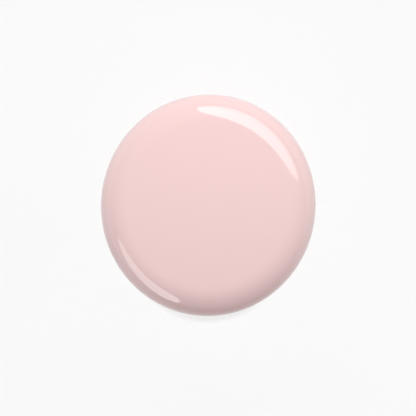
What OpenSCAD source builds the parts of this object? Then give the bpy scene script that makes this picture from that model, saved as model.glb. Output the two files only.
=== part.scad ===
// Nail polish bottle: a glass bottle with a screw-on brush applicator under a pull-off,
// pebble-shaped over-cap. Millimetres, +Z up, origin at the centre of the base.
// The bottle stands on z = 0, and everything is drawn closed, as it stands on a shelf.

/* [Outline] */
// Width of the over-cap along X
cap_width = 30; // [28:0.5:34]
// How much longer the plan is along Y: it is a slightly oval pebble
oval_stretch = 1; // [0.2:0.1:1.6]
// Height from the table to the crown of the over-cap
total_height = 68; // [67.5:0.5:74]

/* [Glass bottle] */
// Height from the table to the flat top of the shoulder
shoulder_height = 32.5; // [31:0.5:33]
// How far the glass stands back from the over-cap all round
body_inset = 0.2; // [0.1:0.1:0.6]
// Thickness of the glass side wall
glass_wall = 2.6; // [2:0.1:3]
// Thickness of the glass under the polish, at the wall
base_thickness = 4.8; // [3.5:0.1:6]
// Radius of the heel, where the side turns under
heel_radius = 4.4; // [2:0.1:5]
// Radius of the shoulder, where the side turns in
shoulder_radius = 3.4; // [2:0.1:4]
// Height of the neck above the shoulder
neck_height = 11.5; // [11.2:0.1:11.6]
// Bore of the neck
neck_bore_d = 7.2; // [6.6:0.1:7.6]
// Height of the polish in the bottle
fill_height = 28; // [20:0.5:28.5]

/* [Screw finish] */
// Outside diameter over the neck's thread
thread_d = 12.9; // [12.8:0.05:13]
// Diameter of the neck between its threads
thread_root_d = 11.4; // [11.3:0.05:11.5]
// Rise of the thread in one turn, 12 threads to the inch
thread_pitch = 2.1167; // [2.1:0.0001:2.13]
// Turns of thread on the neck
neck_thread_turns = 1.5; // [1.25:0.25:1.5]
// Turns of thread inside the inner cap
cap_thread_turns = 1.25; // [1:0.25:1.25]

/* [Mixing balls] */
// Diameter of a steel mixing ball
ball_d = 4; // [3:0.5:4]

/* [Applicator] */
// Diameter over the grip ribs of the inner cap
inner_cap_d = 15.8; // [15.4:0.1:16.2]
// Height of the inner cap
inner_cap_height = 23; // [20:0.5:23]
// Number of grip ribs round the inner cap
grip_ribs = 40; // [24:2:48]
// Diameter of the brush rod under its sealing flange
rod_top_d = 4; // [3.6:0.1:4.2]
// Diameter of the brush rod at its tip
rod_tip_d = 2.9; // [2.8:0.1:3.2]
// Length of bristle that stands out of the rod
bristle_length = 13; // [11:0.5:14]
// Diameter of the round tuft at its widest
tuft_d = 3.6; // [3:0.1:3.8]
// Gap between the tip of the tuft and the glass under it
tip_gap = 0.9; // [0.6:0.1:2]
// How far the tuft bends to either side, in degrees
tuft_bend = 12; // [0:1:12]

/* [Over-cap] */
// Thickness of the over-cap's side wall at its thinnest
cap_wall = 1.7; // [1.4:0.1:2]
// Radius of curvature of the crown
crown_radius = 60; // [40:1:120]
// Radius of the edge between the crown and the side
crown_edge_radius = 4.8; // [3:0.1:6]
// Radius of the lower rim's outer edge
rim_radius = 0.8; // [0.4:0.1:1]
// Thickness of the steel weight
weight_thickness = 4; // [2:0.5:4]

/* [Hidden] */
$fn = 64;

eps = 0.02;             // a glue line or a seat: faces that lie against each other
running_gap = 0.06;     // radial clearance between pieces that turn or slide in each other
arc_steps = 8;          // straight pieces in one rounded edge of a profile

cap_r = cap_width / 2;
body_r = cap_r - body_inset;
cavity_r = body_r - glass_wall;
neck_bore_r = neck_bore_d / 2;
lip_z = shoulder_height + neck_height;

// Inside of the glass
cavity_corner = 3.2;                                // rounded corner at the foot of the wall
cavity_rise = 0.9;                                  // the floor is domed up by this in the middle
cavity_top_z = shoulder_height - glass_wall;        // underside of the shoulder
cavity_shoulder = 3;                                // rounded corner under the shoulder
neck_blend = 1.2;                                   // soft corner where the cavity meets the neck
lip_round = 0.5;                                    // fire-polished edge of the lip
neck_fillet = 0.8;                                  // fillet between the shoulder and the neck

// Underside of the glass
recess_depth = 0.6;
recess_slope = 0.5;
bearing_width = 0.7;                                // flat ring that the bottle stands on
recess_r = body_r - heel_radius - bearing_width - recess_slope;
label_margin = 0.4;
label_thickness = 0.12;

// Thread beads: a trapezium that is swept round and up, as its root radius, crest radius, root
// width and crest width
neck_bead = [thread_root_d / 2, thread_d / 2, 1.2, 0.45];
cap_bore_r = thread_d / 2 + 0.3;
cap_bead = [cap_bore_r, thread_root_d / 2 + 0.25, 1.2, 0.4];
bead_sunk = 0.25;                                   // how far a bead is rooted in its wall
bead_step = 10;                                     // degrees between two rings of a bead
bead_fade = 45;                                     // degrees over which a bead's end sinks away
neck_thread_z = lip_z - 5.9;                        // centre of the neck's bead at its lower end
cap_thread_start = 60;                              // degrees that the inner cap's bead starts later
thread_seat = 0.25;                                 // the closed cap is drawn up against the neck's bead

// Seal: the liner lies on the lip, and the rod's flange presses on it
liner_thickness = 0.9;
liner_r = thread_root_d / 2 - 0.05;
liner_hole_r = rod_top_d / 2 + 0.15;
flange_thickness = 0.7;
flange_r = thread_root_d / 2 - 0.15;
flange_z = lip_z + liner_thickness + eps;

// Inner cap
inner_cap_r = inner_cap_d / 2;
inner_cap_z = shoulder_height + 2.2;
inner_cap_top_z = inner_cap_z + inner_cap_height;
rib_depth = 0.35;
inner_cap_edge = 1.4;                               // rounding of the inner cap's top edge
ceiling_z = flange_z + flange_thickness + eps;
socket_r = 2.6;                                     // socket that the rod's head snaps into
socket_depth = 8;
snap_height = 4.2;                                  // middle of the snap bead above the ceiling
snap_depth = 0.35;
snap_half = 0.9;                                    // half the height of the snap bead
rib_clear = 0.4;                                    // the rounding profile passes this far outside the ribs
mouth_chamfer = 0.6;                                // at the lower edge of the inner cap
mouth_band = 1.2;                                   // plain band under the ribs

// Brush
tip_z = base_thickness + cavity_rise + tip_gap;
rod_tip_z = tip_z + bristle_length;
anchor_depth = 4.6;                                 // depth of the hole that holds the folded bristles
anchor_r = 1;
staple_size = [2.5, 0.3, 1.4];
fold_room = 0.2;                                    // free space over the fold and the staple
staple_z = rod_tip_z + anchor_depth - staple_size.z - fold_room;
tuft_r = tuft_d / 2;
tuft_tip_round = 1.3;
belly_z = tip_z + 4.5;                              // where the tuft is widest
bend_room = 0.25;                                   // the free bristles start this far under the rod
rod_straight = 2.5;                                 // the rod is straight for this length under its flange
rod_edge = 0.2;                                     // chamfer at the rod's tip
head_chamfer = 0.8;
head_room = 0.4;                                    // free space over the rod's head
brush_room = 0.5;                                   // polish kept clear of the brush as it is drawn out

// Mixing balls lie against the foot of the wall
ball_r = ball_d / 2;
ball_wall_gap = 0.55;                               // the ball rests in the rounded corner of the cavity
ball_floor_gap = 0.35;
ball_channel = 0.2;                                 // polish kept clear of the balls
ball_orbit_r = cavity_r - ball_r - ball_wall_gap;
ball_z = base_thickness + ball_r + ball_floor_gap;

// Over-cap
over_cap_z = shoulder_height + 0.4;
cap_cavity_r = cap_r - cap_wall;
crown_thickness = 3.6;
cap_cavity_top_z = total_height - crown_thickness;
cap_cavity_round = 3;
collet_gap = 0.12;                                  // between the collet and the ribs it grips
collet_wall = 1.3;
collet_plate = 1.4;
collet_plate_z = inner_cap_top_z + 0.3;
collet_foot_z = over_cap_z + 1;
collet_foot = 1.2;                                  // thickness of the foot
collet_fins = 8;
fin_thickness = 1;
fin_root = 0.3;                                     // the fins start this far inside the sleeve's wall
fin_gap = 0.2;                                      // between the fins and the over-cap
weight_z = collet_plate_z + collet_plate + eps;
weight_r = 10.5;

// Points of an arc round [x, y], from angle a to angle b.
function arc(x, y, r, a, b) =
    [for (i = [0:arc_steps]) let (t = a + (b - a) * i / arc_steps) [x + r * cos(t), y + r * sin(t)]];

// A bead ring's height share at angle t: it rises out of the wall and sinks back at both ends.
function bead_share(t, sweep) =
    let (s = min(1, t / bead_fade, (sweep - t) / bead_fade)) sin(90 * s) * 1.1 - 0.1;

// Half section of the free space inside the glass, from the floor up to and past the lip.
function cavity_section(wall_r, top_z) = concat(
    [[0, base_thickness + cavity_rise]],
    arc(wall_r - cavity_corner, base_thickness + cavity_corner, cavity_corner, -90, 0),
    arc(wall_r - cavity_shoulder, cavity_top_z - cavity_shoulder, cavity_shoulder, 0, 90),
    arc(neck_bore_r + neck_blend, cavity_top_z + neck_blend, neck_blend, 270, 180),
    arc(neck_bore_r + lip_round, top_z - lip_round, lip_round, 180, 90),
    [[neck_bore_r + lip_round, top_z + 1], [0, top_z + 1]]);

// Turns a half section into a solid that is a little longer along Y than along X: two half-turned
// ends, set apart by a flat middle.
module pebble() {
    for (side = [0, 180]) rotate([0, 0, side])
        translate([0, oval_stretch / 2, 0]) rotate_extrude(angle = 180) children();
    translate([0, oval_stretch / 2, 0]) rotate([90, 0, 0]) linear_extrude(oval_stretch) {
        children();
        mirror([1, 0, 0]) children();
    }
}

// A screw bead on a round wall. bead holds its root radius, crest radius, root width and crest width.
module screw_bead(bead, turns, z, start) {
    sweep = turns * 360;
    rings = round(sweep / bead_step);
    outward = bead[1] > bead[0] ? 1 : -1;
    foot_r = bead[0] - outward * bead_sunk;
    points = [for (i = [0:rings])
        let (t = sweep * i / rings, share = bead_share(t, sweep), a = start + t,
             crest_r = bead[0] + (bead[1] - bead[0]) * share, mid_z = z + thread_pitch * t / 360)
        each [for (p = [[foot_r, -bead[2] / 2], [crest_r, -bead[3] / 2],
                        [crest_r, bead[3] / 2], [foot_r, bead[2] / 2]])
            [p[0] * cos(a), p[0] * sin(a), mid_z + p[1]]]];
    sides = [for (i = [0:rings - 1], k = [0:3])
        let (n = (k + 1) % 4, q = [4 * i + k, 4 * i + n, 4 * i + 4 + n, 4 * i + 4 + k])
        each [[q[0], q[1], q[2]], [q[0], q[2], q[3]]]];
    last = 4 * rings;
    ends = [[0, 3, 2], [0, 2, 1], [last, last + 1, last + 2], [last, last + 2, last + 3]];
    faces = concat(sides, ends);
    polyhedron(points, outward > 0 ? faces : [for (f = faces) [f[2], f[1], f[0]]]);
}

module glass_bottle() color([0.93, 0.95, 0.95, 0.4]) difference() {
    union() {
        pebble() polygon(concat(
            [[0, recess_depth], [recess_r, recess_depth], [recess_r + recess_slope, 0]],
            arc(body_r - heel_radius, heel_radius, heel_radius, -90, 0),
            arc(body_r - shoulder_radius, shoulder_height - shoulder_radius, shoulder_radius, 0, 90),
            [[0, shoulder_height]]));
        rotate_extrude() polygon(concat(
            [[0, shoulder_height - 1], [thread_root_d / 2 + neck_fillet, shoulder_height - 1]],
            arc(thread_root_d / 2 + neck_fillet, shoulder_height + neck_fillet, neck_fillet, 270, 180),
            arc(thread_root_d / 2 - lip_round, lip_z - lip_round, lip_round, 0, 90),
            [[0, lip_z]]));
        screw_bead(neck_bead, neck_thread_turns, neck_thread_z, 0);
    }
    rotate_extrude() polygon(cavity_section(cavity_r, lip_z));
}

module base_label() color("ghostwhite")
    translate([0, 0, recess_depth - label_thickness - eps])
        cylinder(r = recess_r - label_margin, h = label_thickness);

// The polish fills the glass up to its level. It leaves room for the brush, which bends and is
// drawn out, and for the balls, which roll round the foot of the wall.
module polish() color([0.94, 0.80, 0.79]) difference() {
    intersection() {
        rotate_extrude() translate([0, eps]) polygon(cavity_section(cavity_r - 2 * eps, lip_z));
        cylinder(r = cap_r, h = fill_height);
    }
    swing = bristle_length * sin(tuft_bend);
    translate([0, 0, rod_tip_z - 1]) cylinder(r = tuft_r + brush_room, h = total_height);
    translate([0, 0, tip_z - 0.5])
        cylinder(r1 = tuft_r + brush_room + swing, r2 = tuft_r + brush_room, h = rod_tip_z - tip_z);
    rotate_extrude() translate([ball_orbit_r, ball_z]) circle(ball_r + ball_channel);
}

// Ball 1 lies on the +X side and ball 2 on the -X side.
module mixing_ball(number) color("silver")
    rotate([0, 0, 180 * (number - 1)]) translate([ball_orbit_r, 0, ball_z]) sphere(ball_r);

module seal_liner() color("whitesmoke") translate([0, 0, lip_z + eps / 2]) difference() {
    cylinder(r = liner_r, h = liner_thickness);
    translate([0, 0, -1]) cylinder(r = liner_hole_r, h = liner_thickness + 2);
}

// Head with its snap bead, sealing flange, tapered rod, and the hole that holds the bristles.
module brush_rod() color("white") difference() {
    head_r = socket_r - running_gap;
    head_top_z = ceiling_z + socket_depth - head_room;
    snap_z = ceiling_z + snap_height;
    rotate_extrude() polygon([
        [0, rod_tip_z], [rod_tip_d / 2 - rod_edge, rod_tip_z], [rod_tip_d / 2, rod_tip_z + rod_edge],
        [rod_top_d / 2, flange_z - rod_straight], [rod_top_d / 2, flange_z],
        [flange_r, flange_z], [flange_r, flange_z + flange_thickness],
        [head_r, flange_z + flange_thickness], [head_r, snap_z - snap_half],
        [head_r + snap_depth, snap_z], [head_r, snap_z + snap_half],
        [head_r, head_top_z - head_chamfer], [head_r - head_chamfer, head_top_z], [0, head_top_z]]);
    translate([0, 0, rod_tip_z - 1]) cylinder(r = anchor_r + eps, h = anchor_depth + 1);
}

// Flat wire that is driven across the fold of the bristles and bites into the rod.
module brush_staple() color("silver")
    translate([-staple_size.x / 2, -staple_size.y / 2, staple_z]) cube(staple_size);

// The folded end of the bristles, packed into the rod on both sides of the staple.
module bristle_fold() color("linen") difference() {
    translate([0, 0, rod_tip_z]) cylinder(r = anchor_r, h = anchor_depth - fold_room);
    translate([-2, -staple_size.y / 2 - eps, staple_z - eps])
        cube([4, staple_size.y + 2 * eps, staple_size.z + 1]);
}

// The free length of the bristles as one solid: it swells below the rod and is round at the tip.
module bristles() color("linen")
    rotate_extrude() polygon(concat(
        [[0, tip_z]],
        arc(tuft_r - tuft_tip_round, tip_z + tuft_tip_round, tuft_tip_round, -90, 0),
        [[tuft_r, belly_z], [tuft_r * 0.9, belly_z + 3],
         [anchor_r, rod_tip_z - bend_room], [0, rod_tip_z - bend_room]]));

// Grip ribs: a round bar with shallow flutes between flat-topped ribs.
module ribbed_bar() linear_extrude(inner_cap_height) polygon([
    for (i = [0:grip_ribs - 1], k = [0:3])
        let (a = 360 / grip_ribs * (i + [0, 0.5, 0.6, 0.9][k]),
             r = inner_cap_r - [0, 0, rib_depth, rib_depth][k])
        [r * cos(a), r * sin(a)]]);

module inner_cap() color("white") difference() {
    union() {
        translate([0, 0, inner_cap_z]) intersection() {
            ribbed_bar();
            rotate_extrude() polygon(concat(
                [[0, 0], [inner_cap_r - mouth_chamfer, 0],
                 [inner_cap_r + rib_clear, mouth_chamfer + rib_clear],
                 [inner_cap_r + rib_clear, inner_cap_height / 2]],
                arc(inner_cap_r - inner_cap_edge, inner_cap_height - inner_cap_edge, inner_cap_edge, 0, 90),
                [[0, inner_cap_height]]));
        }
        translate([0, 0, inner_cap_z]) cylinder(r = inner_cap_r - rib_depth / 2, h = mouth_band);
    }
    translate([0, 0, inner_cap_z - 1]) cylinder(r = cap_bore_r, h = ceiling_z - inner_cap_z + 1);
    snap_z = ceiling_z + snap_height;
    rotate_extrude() polygon([
        [0, ceiling_z - 1], [socket_r, ceiling_z - 1], [socket_r, snap_z - snap_half],
        [socket_r + snap_depth, snap_z], [socket_r, snap_z + snap_half],
        [socket_r, ceiling_z + socket_depth], [0, ceiling_z + socket_depth]]);
}

// The bead is sunk in the bore's wall, half a pitch under the neck's bead and drawn up against it.
module inner_cap_thread() color("white")
    screw_bead(cap_bead, cap_thread_turns,
               neck_thread_z + thread_pitch * (cap_thread_start / 360 - 0.5) + thread_seat, cap_thread_start);

// Crown, its edge and the side meet tangentially: both arcs share a normal where they join.
module over_cap() color([0.95, 0.80, 0.79]) difference() {
    crown_z = total_height - crown_radius;
    edge_x = cap_r - crown_edge_radius;
    edge_z = crown_z + sqrt(pow(crown_radius - crown_edge_radius, 2) - pow(edge_x, 2));
    join = atan2(edge_z - crown_z, edge_x);
    pebble() polygon(concat(
        [[0, over_cap_z]],
        arc(cap_r - rim_radius, over_cap_z + rim_radius, rim_radius, -90, 0),
        arc(edge_x, edge_z, crown_edge_radius, 0, join),
        arc(0, crown_z, crown_radius, join, 90)));
    rotate_extrude() polygon(concat(
        [[0, over_cap_z - 1], [cap_cavity_r, over_cap_z - 1]],
        arc(cap_cavity_r - cap_cavity_round, cap_cavity_top_z - cap_cavity_round, cap_cavity_round, 0, 90),
        [[0, cap_cavity_top_z]]));
}

// Sleeve that grips the inner cap, a foot that closes the over-cap from below, a plate that
// carries the weight, and fins that centre it all in the over-cap.
module cap_collet() color("gainsboro") difference() {
    bore_r = inner_cap_r + collet_gap;
    outer_r = cap_cavity_r - eps;
    plate_top_z = collet_plate_z + collet_plate;
    union() {
        translate([0, 0, collet_foot_z]) cylinder(r = outer_r, h = collet_foot);
        translate([0, 0, collet_foot_z]) cylinder(r = bore_r + collet_wall, h = plate_top_z - collet_foot_z);
        for (i = [0:collet_fins - 1]) rotate([0, 0, 360 / collet_fins * i])
            translate([bore_r + fin_root, -fin_thickness / 2, collet_foot_z])
                cube([outer_r - fin_gap - bore_r - fin_root, fin_thickness, plate_top_z - collet_foot_z - 1]);
    }
    translate([0, 0, collet_foot_z - 1]) cylinder(r = bore_r, h = collet_plate_z - collet_foot_z + 1);
}

module cap_weight() color("slategray") translate([0, 0, weight_z]) {
    bevel = 0.5;
    rotate_extrude() polygon([
        [0, 0], [weight_r - bevel, 0], [weight_r, bevel], [weight_r, weight_thickness - bevel],
        [weight_r - bevel, weight_thickness], [0, weight_thickness]]);
}

glass_bottle();
base_label();
polish();
mixing_ball(1);  // mixing_ball_1
mixing_ball(2);  // mixing_ball_2
seal_liner();
brush_rod();
brush_staple();
bristle_fold();
bristles();
union() { inner_cap(); inner_cap_thread(); }
over_cap();
cap_collet();
cap_weight();
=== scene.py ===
"""Looks of a nail polish bottle: a glass bottle, a screw-on brush applicator and a pebble-shaped over-cap.

Lengths are in millimetres until a mesh is made, which turns them to metres. Every outer size comes
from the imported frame, and the fields below hold only what a box can't say, such as a wall or an arc.
"""

import logging
import math
from dataclasses import dataclass
from enum import Enum

import bpy
import numpy as np
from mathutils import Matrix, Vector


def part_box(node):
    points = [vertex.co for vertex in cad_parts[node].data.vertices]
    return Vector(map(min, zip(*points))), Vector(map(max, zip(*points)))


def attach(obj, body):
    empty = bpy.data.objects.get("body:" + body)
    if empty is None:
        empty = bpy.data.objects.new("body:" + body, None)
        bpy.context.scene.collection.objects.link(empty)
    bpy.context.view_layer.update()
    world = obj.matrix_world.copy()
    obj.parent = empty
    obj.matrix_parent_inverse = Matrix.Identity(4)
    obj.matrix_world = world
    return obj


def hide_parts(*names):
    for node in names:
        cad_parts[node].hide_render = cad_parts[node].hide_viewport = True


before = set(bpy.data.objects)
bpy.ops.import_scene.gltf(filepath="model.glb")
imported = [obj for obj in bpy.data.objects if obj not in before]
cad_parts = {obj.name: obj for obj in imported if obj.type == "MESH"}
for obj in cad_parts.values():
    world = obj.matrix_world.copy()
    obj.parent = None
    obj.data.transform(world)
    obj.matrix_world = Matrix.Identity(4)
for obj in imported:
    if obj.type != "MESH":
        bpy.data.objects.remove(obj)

LOG = logging.getLogger("nail_polish_bottle")
MM = 0.001
GOLDEN_ANGLE = math.pi * (3 - math.sqrt(5))
NEAR = 0.01                 # two heights or distances this close count as one
MERGE_DECIMALS = 6          # points that agree to this many decimals become one
THREAD_PITCH = 2.1167       # 12 threads to the inch
THREAD_DROP = 5.9           # from the lip down to the start of the neck's thread


# ---------------------------------------------------------------- shapes


@dataclass
class NodeBox:
    """The box of a CAD node at rest, in millimetres."""

    low: np.ndarray
    high: np.ndarray

    @classmethod
    def of(cls, node: str) -> "NodeBox":
        """Reads a node's box from the frame.

        Args:
            node: The node's name.

        Returns:
            Its box in millimetres.
        """
        low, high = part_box(node)
        return cls(np.array(low) / MM, np.array(high) / MM)

    @property
    def radius(self) -> float:
        """Half the width along X."""
        return float(self.high[0] - self.low[0]) / 2

    @property
    def oval(self) -> float:
        """How many times longer the plan is along Y than along X."""
        return float((self.high[1] - self.low[1]) / (self.high[0] - self.low[0]))

    @property
    def bottom(self) -> float:
        """Height of the lowest point."""
        return float(self.low[2])

    @property
    def top(self) -> float:
        """Height of the highest point."""
        return float(self.high[2])


@dataclass
class Shape:
    """Points in millimetres and the four-cornered faces between them."""

    points: np.ndarray
    faces: np.ndarray

    @classmethod
    def grid(cls, points: np.ndarray, wrap_rows: bool = False) -> "Shape":
        """Joins a grid of points into faces. Each row closes on itself.

        Args:
            points: Array of rows by columns by 3.
            wrap_rows: Whether the last row joins the first, as on a ring.

        Returns:
            The shape.
        """
        rows, columns = points.shape[:2]
        row = np.arange(rows if wrap_rows else rows - 1)[:, None]
        column = np.arange(columns)[None, :]
        below, above = row * columns, (row + 1) % rows * columns
        beside = (column + 1) % columns
        corners = (below + column, below + beside, above + beside, above + column)
        return cls(points.reshape(-1, 3), np.stack(corners, axis=-1).reshape(-1, 4))

    @classmethod
    def bundle(cls, tubes: np.ndarray) -> "Shape":
        """Joins many alike tubes into one shape. Their ends are drawn together to a point.

        Args:
            tubes: Array of tubes by rows by columns by 3.

        Returns:
            The shape.
        """
        count, rows, columns = tubes.shape[:3]
        one = cls.grid(tubes[0]).faces
        shift = np.arange(count)[:, None, None] * rows * columns
        return cls(tubes.reshape(-1, 3), (one[None] + shift).reshape(-1, 4))

    def outward(self) -> "Shape":
        """Turns all faces over if they enclose a negative volume.

        Returns:
            The shape with its faces outward.
        """
        a, b, c, d = (self.points[self.faces[:, i]] for i in range(4))
        volume = np.einsum("ij,ij->", a, np.cross(b, c)) + np.einsum("ij,ij->", a, np.cross(c, d))
        return self if volume > 0 else Shape(self.points, self.faces[:, ::-1])


def arc(centre: tuple[float, float], radius: float, start: float, end: float,
        steps: int = 12) -> np.ndarray:
    """Points round a circle: centre plus radius times the cosine and sine of evenly spaced angles.

    Args:
        centre: The centre as distance from the axis and height.
        radius: The arc's radius.
        start: First angle in degrees.
        end: Last angle in degrees.
        steps: Number of equal steps.

    Returns:
        Array of steps + 1 by 2.
    """
    angle = np.radians(np.linspace(start, end, steps + 1))
    return np.column_stack((centre[0] + radius * np.cos(angle), centre[1] + radius * np.sin(angle)))


def line(start: tuple[float, float], end: tuple[float, float], step: float) -> np.ndarray:
    """Evenly spaced points on a straight stretch, no further apart than the step.

    Args:
        start: First point as distance from the axis and height.
        end: Last point.
        step: Longest distance between two points.

    Returns:
        Array of points by 2.
    """
    count = max(1, math.ceil(math.dist(start, end) / step))
    return np.linspace(start, end, count + 1)


def polyline(corners: list[tuple[float, float]], step: float) -> np.ndarray:
    """Straight stretches from corner to corner, with evenly spaced points on each.

    Args:
        corners: Points as distance from the axis and height.
        step: Longest distance between two points.

    Returns:
        Array of points by 2.
    """
    stretches = [line(start, end, step) for start, end in zip(corners, corners[1:])]
    return np.vstack([stretches[0], *(stretch[1:] for stretch in stretches[1:])])


def revolve(profile: np.ndarray, columns: int, oval: np.ndarray | float = 1.0) -> np.ndarray:
    """Carries a profile round the axis: x = r cos a and y = r times oval times sin a.

    Args:
        profile: Rows of distance from the axis and height.
        columns: Number of steps round the axis.
        oval: Stretch along Y, one for all rows or one for each.

    Returns:
        Array of rows by columns by 3.
    """
    angle = np.linspace(0, 2 * math.pi, columns, endpoint=False)
    radius = profile[:, :1]
    stretch = np.broadcast_to(np.asarray(oval, float).reshape(-1, 1), radius.shape)
    height = np.broadcast_to(profile[:, 1:], (len(profile), columns))
    return np.stack((radius * np.cos(angle), stretch * radius * np.sin(angle), height), axis=-1)


def swell(points: np.ndarray, amount: np.ndarray) -> np.ndarray:
    """Moves points away from the axis, by the amount times the cosine and sine of their angle.

    Args:
        points: Array of rows by columns by 3.
        amount: How far each one moves; less than 0 is inwards.

    Returns:
        The moved points.
    """
    angle = np.arctan2(points[..., 1], points[..., 0])
    outward = np.stack((np.cos(angle), np.sin(angle), np.zeros_like(angle)), axis=-1)
    return points + amount[..., None] * outward


def smooth(share: np.ndarray) -> np.ndarray:
    """Eases a share from 0 to 1: three times its square less twice its cube."""
    share = np.clip(share, 0, 1)
    return share * share * (3 - 2 * share)


@dataclass(frozen=True)
class ScrewThread:
    """A thread that stands out of a round wall, as a height over the wall at each angle and height."""

    start_z: float
    start_deg: float
    turns: float
    pitch: float = THREAD_PITCH
    root_width: float = 1.2
    crest_width: float = 0.45
    depth: float = 0.75
    fade_deg: float = 45

    def height(self, points: np.ndarray) -> np.ndarray:
        """The thread's height: a trapezium about a helix that climbs one pitch a turn.

        Its flanks are eased, and it sinks into the wall at both ends.

        Args:
            points: Array of rows by columns by 3, on the wall.

        Returns:
            Heights over the wall, 0 where there is no thread.
        """
        z = points[..., 2]
        angle = np.arctan2(points[..., 1], points[..., 0])
        sweep = self.turns * 360
        first = (np.degrees(angle) - self.start_deg) % 360
        turned = first[..., None] + 360 * np.arange(math.ceil(self.turns) + 1)
        away = np.abs(z[..., None] - self.start_z - self.pitch * turned / 360)
        flank = (self.root_width / 2 - away) / (self.root_width - self.crest_width) * 2
        ends = np.minimum(turned, sweep - turned) / self.fade_deg
        return self.depth * (smooth(flank) * smooth(ends)).max(axis=-1)


# ---------------------------------------------------------------- finishes


def linear(colour: str) -> tuple[float, float, float, float]:
    """Turns an sRGB hex value, such as #E9C8C7, to linear light with full alpha."""
    channels = (int(colour[i:i + 2], 16) / 255 for i in (1, 3, 5))
    return (*(c / 12.92 if c <= 0.04045 else ((c + 0.055) / 1.055) ** 2.4 for c in channels), 1.0)


def add_node(tree: bpy.types.NodeTree, kind: str, sockets: dict, **settings: object) -> bpy.types.Node:
    """Adds a node with its settings and links.

    Args:
        tree: The tree that it joins.
        kind: The node's type.
        sockets: Input name or number to a value, or to the output socket that feeds it.
        **settings: The node's own properties.

    Returns:
        The node.
    """
    node = tree.nodes.new(kind)
    for name, value in settings.items():
        setattr(node, name, value)
    for name, value in sockets.items():
        if isinstance(value, bpy.types.NodeSocket):
            tree.links.new(value, node.inputs[name])
        else:
            node.inputs[name].default_value = value
    return node


class Pattern(Enum):
    """What a surface's fine relief is made of."""

    WAVES = "ShaderNodeTexNoise"
    CELLS = "ShaderNodeTexVoronoi"
    RINGS = "ShaderNodeTexWave"


@dataclass(frozen=True)
class Grain:
    """Fine relief: the width of one feature and how deep it goes, both in millimetres."""

    pattern: Pattern
    width: float
    depth: float


@dataclass(frozen=True)
class Tide:
    """A second colour below a height, in millimetres, with an uneven edge."""

    colour: str
    height: float
    blur: float


@dataclass(frozen=True)
class Finish:
    """A surface as it is made. Two colours and two roughnesses are mixed by a soft mottle."""

    name: str
    colours: tuple[str, str]
    roughness: tuple[float, float]
    mottle: float
    grain: Grain
    metallic: float = 0.0
    transmission: float = 0.0
    ior: float = 1.5
    scatter: float = 0.0
    scatter_depth: float = 0.5
    tide: Tide | None = None

    def material(self) -> bpy.types.Material:
        """Builds the material once, and finds it again after that.

        Returns:
            The material.
        """
        found = bpy.data.materials.get(self.name)
        if found:
            return found
        material = bpy.data.materials.new(self.name)
        material.use_nodes = True
        tree = material.node_tree
        shader = tree.nodes["Principled BSDF"]
        place = add_node(tree, "ShaderNodeTexCoord", {}).outputs["Object"]
        mottle = add_node(tree, "ShaderNodeTexNoise", {"Vector": place, "Scale": 1 / (self.mottle * MM)})
        rough = add_node(tree, "ShaderNodeMapRange", {
            "Value": mottle.outputs[0], "To Min": self.roughness[0], "To Max": self.roughness[1]})
        colour = add_node(tree, "ShaderNodeMix", {
            0: mottle.outputs[0], 6: linear(self.colours[0]), 7: linear(self.colours[1])}, data_type="RGBA")
        tinted = colour.outputs[2]
        if self.tide:
            tinted = self.tided(tree, place, mottle.outputs[0], tinted)
        tree.links.new(tinted, shader.inputs["Base Color"])
        tree.links.new(rough.outputs[0], shader.inputs["Roughness"])
        tree.links.new(self.relief(tree, place), shader.inputs["Normal"])
        shader.inputs["Metallic"].default_value = self.metallic
        shader.inputs["Transmission Weight"].default_value = self.transmission
        shader.inputs["Subsurface Weight"].default_value = self.scatter
        shader.inputs["Subsurface Scale"].default_value = self.scatter_depth * MM
        if not self.metallic:
            shader.inputs["IOR"].default_value = self.ior
        return material

    def relief(self, tree: bpy.types.NodeTree, place: bpy.types.NodeSocket) -> bpy.types.NodeSocket:
        """Adds the fine relief.

        Args:
            tree: The material's tree.
            place: Object coordinates.

        Returns:
            The socket that holds the bent normal.
        """
        scale = 1 / (self.grain.width * MM)
        sockets: dict = {"Vector": place, "Scale": scale}
        settings: dict = {}
        if self.grain.pattern is Pattern.RINGS:
            sockets["Scale"] = scale * math.pi / 10     # a wave repeats each 2 pi / 20 units
            settings = {"wave_type": "RINGS", "rings_direction": "Z"}
        texture = add_node(tree, self.grain.pattern.value, sockets, **settings)
        bump = add_node(tree, "ShaderNodeBump", {
            "Height": texture.outputs[0], "Distance": self.grain.depth * MM})
        return bump.outputs[0]

    def tided(self, tree: bpy.types.NodeTree, place: bpy.types.NodeSocket,
                uneven: bpy.types.NodeSocket, upper: bpy.types.NodeSocket) -> bpy.types.NodeSocket:
        """Mixes the second colour in below its height.

        Args:
            tree: The material's tree.
            place: Object coordinates.
            uneven: A soft mottle that makes the edge wander.
            upper: The colour above it.

        Returns:
            The socket that holds the colour.
        """
        height = add_node(tree, "ShaderNodeSeparateXYZ", {0: place}).outputs[2]
        wander = add_node(tree, "ShaderNodeMath", {
            0: uneven, 1: self.tide.blur * MM, 2: height}, operation="MULTIPLY_ADD")
        share = add_node(tree, "ShaderNodeMapRange", {
            "Value": wander.outputs[0],
            "From Min": (self.tide.height - self.tide.blur) * MM,
            "From Max": (self.tide.height + self.tide.blur) * MM})
        mixed = add_node(tree, "ShaderNodeMix", {
            0: share.outputs[0], 6: linear(self.tide.colour), 7: upper}, data_type="RGBA")
        return mixed.outputs[2]


PINK = "#E9CAC9"

# ABS, sprayed pink and clear-coated: a deep, even gloss with the faint long waves of orange peel.
SPRAYED_ABS = Finish("sprayed_abs", (PINK, "#E8C8C7"), (0.035, 0.055), 6,
                     Grain(Pattern.WAVES, 1.8, 0.0004))
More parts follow.
